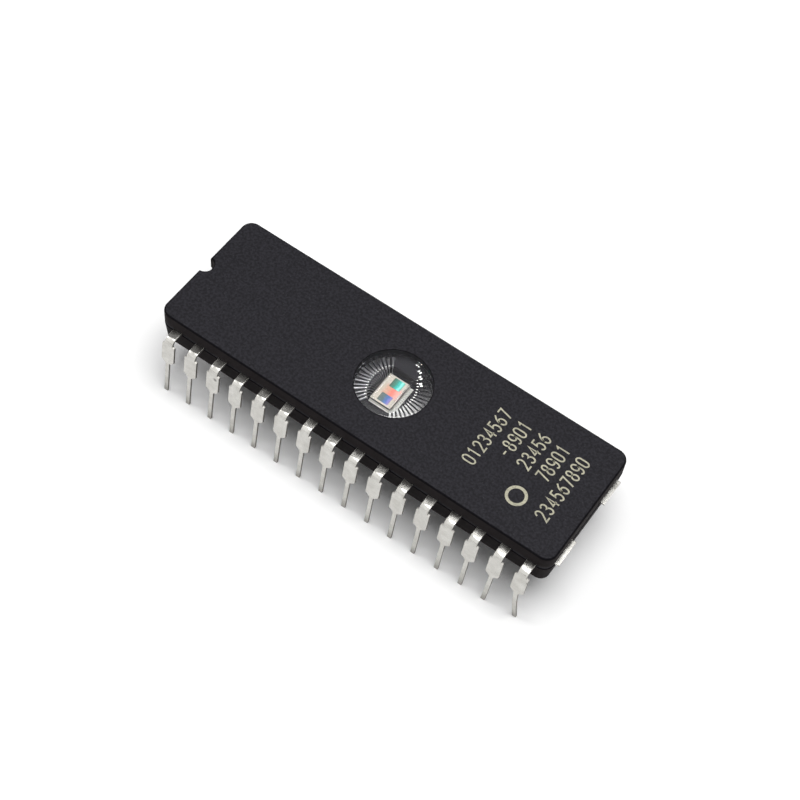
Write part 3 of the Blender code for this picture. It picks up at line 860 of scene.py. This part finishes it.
def make_bonds(material):
    """Wedge bonds on the fingertips, pads with their bonds on the chip, and the splashes."""
    bm = bmesh.new()
    lead_top = LEAD_Z + LEAD_THICKNESS / 2
    die_top = DIE_HIGH.z - DIE_PROUD
    pad_low, pad_high = die_top - 0.002 * MM, die_top + 0.004 * MM
    half = 0.055 * MM
    for number in LEAD_NUMBERS:
        ends = wire_ends(number)
        foot, pad, out = ends
        side = Vector((-out.y, out.x, 0))
        wedge = foot + out * 0.05 * MM + Vector((0, 0, lead_top + finger_lift(foot, ends)))
        add_blob(bm, wedge, out * 0.13 * MM, side * 0.045 * MM, 0.030 * MM, 12, 4, -0.2)
        span = (pad.x - half, pad.x + half, pad.y - half, pad.y + half)
        plate(bm, span, pad_low, pad_high, 0.004 * MM, 0.001 * MM)
        ball = pad + Vector((0, 0, die_top + 0.003 * MM))
        add_blob(bm, ball, out * 0.060 * MM, side * 0.032 * MM, 0.022 * MM, 12, 4, -0.2)
    for x, y in SPLASHES:
        place = Vector((x * MM, y * MM, 0))
        along = (place - Vector((CAVITY_X, 0, 0))).normalized()
        across = Vector((-along.y, along.x, 0))
        for shift in (-0.5, 0.5):
            center = place + across * shift * SPLASH_SPREAD
            stem = center + Vector((0, 0, lead_top - 0.04 * MM))
            crown = center + Vector((0, 0, lead_top + 0.03 * MM))
            add_blob(bm, stem, along * 0.15 * MM, across * 0.08 * MM, 0.10 * MM, 12, 4, -0.9)
            add_blob(bm, crown, along * 0.21 * MM, across * 0.12 * MM, 0.06 * MM, 16, 5, -0.3)
    add_piece("wire_bonds", bm, material, smooth=50, flats=False)


# Leads

EDGE_RADIUS = 0.035 * MM
SHARP_EDGE = math.radians(50)
FLAT_ANGLE = math.radians(0.4)


def node_bmesh(node):
    """The node's solid as a clean mesh of flat faces."""
    bm = bmesh.new()
    bm.from_mesh(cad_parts[node].data)
    bmesh.ops.remove_doubles(bm, verts=bm.verts, dist=SAME_PLACE)
    bmesh.ops.dissolve_limit(bm, angle_limit=FLAT_ANGLE, verts=bm.verts, edges=bm.edges)
    return bm


def round_fingers(piece):
    """Shade the fingers in the window as if their edges were rolled round."""
    coined = {v.index for v in piece.data.vertices if v.co.xy.length < COINED_RADIUS}
    for edge in piece.data.edges:
        if coined.issuperset(edge.vertices):
            edge.use_edge_sharp = False
    group = piece.vertex_groups.new(name="coined")
    group.add(sorted(coined), 1.0, "REPLACE")
    piece.modifiers["flats"].vertex_group = "coined"
    piece.modifiers["flats"].invert_vertex_group = True


def outside(vert):
    """Whether a point of a lead stands clear of the lid's plan."""
    beyond_end = not LID_LOW.x < vert.co.x < LID_HIGH.x
    return beyond_end or abs(vert.co.y) > LID_HIGH.y + 0.01 * MM


def make_leads(material):
    """The leads with rolled edges outside the body, and lifted fingers inside it."""
    for number in LEAD_NUMBERS:
        node = "lead_%02d" % number
        bm = node_bmesh(node)
        edges = [e for e in bm.edges
                 if any(outside(v) for v in e.verts) and len(e.link_faces) == 2
                 and e.calc_face_angle() > SHARP_EDGE]
        bmesh.ops.bevel(bm, geom=edges, offset=EDGE_RADIUS, segments=3, profile=0.5,
                        affect="EDGES", clamp_overlap=True)
        ends = wire_ends(number)
        out = ends[2]
        for i in range(LIFT_CUTS):
            cut_at = Vector((CAVITY_X, 0, 0)) + out * (LIFT_REACH - i * LIFT_CUT_STEP)
            bmesh.ops.bisect_plane(bm, geom=bm.verts[:] + bm.edges[:] + bm.faces[:],
                                   dist=SAME_PLACE, plane_co=cut_at, plane_no=out)
        for vert in bm.verts:
            vert.co.z += finger_lift(vert.co, ends)
        piece = add_piece("pin_%02d" % number, bm, material, [node])
        if out.x < 0:
            round_fingers(piece)


# Marking

DIGIT_HEIGHT = 1.26 * MM
DIGIT_WIDTH = 0.50 * MM
DIGIT_STEP = 0.82 * MM
STROKE = 0.145 * MM
MARK_END_Y = 3.72 * MM
RING_CENTER = (14.85 * MM, -2.85 * MM)
RING_RADIUS = 0.86 * MM
RING_STROKE = 0.28 * MM

# Least cosine by which a turn's mitre is lengthened
SHARPEST_MITRE = 0.45

# Rows of signs, each with the place of its upper edge along the lid in millimetres
MARK_ROWS = [("01234567", 8.90), ("-8901", 10.97), ("23456", 12.97), ("78901", 14.95),
             ("234567890", 16.95)]


def arc(cx, cy, rx, ry, start, end, steps=10):
    turns = (math.radians(start + (end - start) * i / steps) for i in range(steps + 1))
    return [(cx + rx * math.cos(a), cy + ry * math.sin(a)) for a in turns]


# Lines of each sign, in a box one wide and one high
GLYPHS = {
    "0": [arc(0.5, 0.72, 0.5, 0.28, 0, 180) + arc(0.5, 0.28, 0.5, 0.28, 180, 360) + [(1.0, 0.72)]],
    "1": [[(0.18, 0.82), (0.58, 1.0), (0.58, 0.0)]],
    "2": [arc(0.5, 0.72, 0.48, 0.28, 170, 0) + arc(0.40, 0.72, 0.58, 0.30, 0, -40, 4)
          + [(0.0, 0.0), (1.0, 0.0)]],
    "3": [arc(0.45, 0.77, 0.45, 0.23, 160, -90) + arc(0.45, 0.27, 0.52, 0.27, 90, -160)],
    "4": [[(0.72, 0.0), (0.72, 1.0), (0.0, 0.30), (1.0, 0.30)]],
    "5": [[(0.92, 1.0), (0.14, 1.0), (0.06, 0.55)] + arc(0.46, 0.32, 0.52, 0.32, 120, -150)],
    "6": [[(0.88, 1.0)] + arc(1.00, 0.32, 1.00, 0.62, 118, 180, 6)
          + arc(0.5, 0.30, 0.5, 0.30, 180, 540, 18)],
    "7": [[(0.0, 1.0), (1.0, 1.0), (0.36, 0.0)]],
    "8": [arc(0.5, 0.77, 0.42, 0.23, -90, 270, 18), arc(0.5, 0.27, 0.50, 0.27, 90, 450, 18)],
    "9": [arc(0.5, 0.28, 0.46, 0.28, -140, 0) + arc(0.5, 0.70, 0.5, 0.30, 0, 360, 18)],
    "-": [[(0.05, 0.46), (0.85, 0.46)]],
}


def stroke_slab(bm, line, width, low, high):
    """Thin slab that follows a line of points with mitred turns."""
    line = [p for i, p in enumerate(line) if i == 0 or math.dist(p, line[i - 1]) > SAME_PLACE]
    rings = []
    for i, (x, y) in enumerate(line):
        heads = []
        if i > 0:
            heads.append(Vector((x - line[i - 1][0], y - line[i - 1][1])).normalized())
        if i < len(line) - 1:
            heads.append(Vector((line[i + 1][0] - x, line[i + 1][1] - y)).normalized())
        heading = (heads[0] + heads[-1]).normalized()
        reach = width / 2 / max(heading.dot(heads[0]), SHARPEST_MITRE)
        side = Vector((-heading.y, heading.x)) * reach
        rings.append([(x + side.x, y + side.y, low), (x - side.x, y - side.y, low),
                      (x - side.x, y - side.y, high), (x + side.x, y + side.y, high)])
    loft(bm, rings)


def make_marking(material):
    """Rows of plain counting digits and a plain ring, printed across the lid."""
    bm = bmesh.new()
    low = LID_TOP_Z - INK_HEIGHT - 0.002 * MM
    for text, top_x in MARK_ROWS:
        for place, sign in enumerate(reversed(text)):
            left_y = MARK_END_Y - place * DIGIT_STEP - DIGIT_WIDTH - STROKE / 2
            foot_x = top_x * MM + STROKE / 2 + DIGIT_HEIGHT
            for line in GLYPHS[sign]:
                points = [(foot_x - v * DIGIT_HEIGHT, left_y + u * DIGIT_WIDTH) for u, v in line]
                stroke_slab(bm, points, STROKE, low, LID_TOP_Z)
    ring = arc(*RING_CENTER, RING_RADIUS, RING_RADIUS, 0, 360, 48)
    stroke_slab(bm, ring, RING_STROKE, low, LID_TOP_Z)
    add_piece("marking", bm, material, smooth=30)


# Stage

def make_floor():
    bm = bmesh.new()
    bmesh.ops.create_grid(bm, x_segments=1, y_segments=1, size=FLOOR_SIZE)
    floor = new_object("table", bm)
    floor.data.materials.append(floor_material())


def add_lamp(name, place, size, power):
    light = bpy.data.lights.new(name, "AREA")
    light.shape = "DISK"
    light.size = size * MM
    light.energy = power
    lamp = bpy.data.objects.new(name, light)
    lamp.location = place * MM
    lamp.rotation_euler = place.to_track_quat("Z", "Y").to_euler()
    bpy.context.scene.collection.objects.link(lamp)


def make_world():
    """Dim room for the light, its brighter walls for mirrors and white for the camera."""
    world = bpy.data.worlds.new("studio")
    bpy.context.scene.world = world
    g = Graph(world, "Generated")
    x, y, z = g.split(g.place)

    def edge(value, place, soft):
        return g.range(value, place - soft, place + soft, smooth=True)

    aside = g.math("COSINE", g.math("SUBTRACT", g.math("ARCTAN2", y, x), DARK_TOWARDS))
    dark = g.math("MULTIPLY", edge(aside, math.cos(DARK_HALF_WIDTH), 2 * DARK_SOFT),
                  edge(z, DARK_LOW, DARK_SOFT))
    from_axis = 0.0
    for value, part in zip((z, y, x), reversed(CEILING_AXIS)):
        from_axis = g.math("MULTIPLY_ADD", value, -part, from_axis)
    dark = g.math("MULTIPLY", dark, edge(from_axis, -math.cos(CEILING_REACH), DARK_SOFT))
    mirrored = g.math("MULTIPLY_ADD", dark, ROOM_SEEN * (DARK_LEFT - 1.0), ROOM_SEEN)
    forward = g.range(g.math("MULTIPLY", y, -1.0), 0.0, FRONT_FULL, smooth=True)
    front = g.math("MULTIPLY", forward, g.range(z, 0.0, FRONT_FULL, smooth=True))
    mirrored = g.math("MULTIPLY_ADD", front, FRONT_SEEN, mirrored)
    strength = g.choose(g.rays("Is Glossy Ray", "Is Transmission Ray"), ROOM_LIGHT, mirrored)
    strength = g.choose(g.rays("Is Camera Ray"), strength, 1.0)
    background = g.tree.nodes["Background"]
    g.put(background.inputs["Strength"], strength)
    background.inputs["Color"].default_value = (1.0, 1.0, 1.0, 1.0)


def make_camera():
    data = bpy.data.cameras.new("camera")
    data.sensor_width = CAMERA_SENSOR
    data.lens = CAMERA_LENS
    data.clip_start = CAMERA_NEAR
    data.clip_end = CAMERA_FAR
    camera = bpy.data.objects.new("camera", data)
    camera.location = CAMERA_PLACE
    camera.rotation_euler = Euler([math.radians(a) for a in CAMERA_TURN], "XYZ")
    bpy.context.scene.collection.objects.link(camera)
    bpy.context.scene.camera = camera


def dress_node(node, material):
    """Give a CAD node that keeps its own mesh its finish."""
    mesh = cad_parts[node].data
    mesh.materials.clear()
    mesh.materials.append(material)


make_camera()
make_world()
make_floor()
for lamp_name, (lamp_place, lamp_size, lamp_power) in LAMPS.items():
    add_lamp(lamp_name, lamp_place, lamp_size, lamp_power)

ceramic = ceramic_material()
glass_seal = seal_material()
make_lid(ceramic)
make_base(ceramic)
dress_node("seal_glass", glass_seal)
make_seal_bead(glass_seal)
make_window(window_material())
make_cavity_floor(paste_material("cavity_metal", (0.86, 0.84, 0.79), (0.95, 0.93, 0.89), 0.0))
make_paste(paste_material("die_paste_metal", (0.78, 0.75, 0.68), (0.92, 0.89, 0.83), 0.15))
make_die(die_material())
make_bonds(bond_material())
make_leads(lead_material())
make_marking(ink_material())

bpy.context.scene.view_settings.view_transform = "Standard"

bpy.context.view_layer.update()
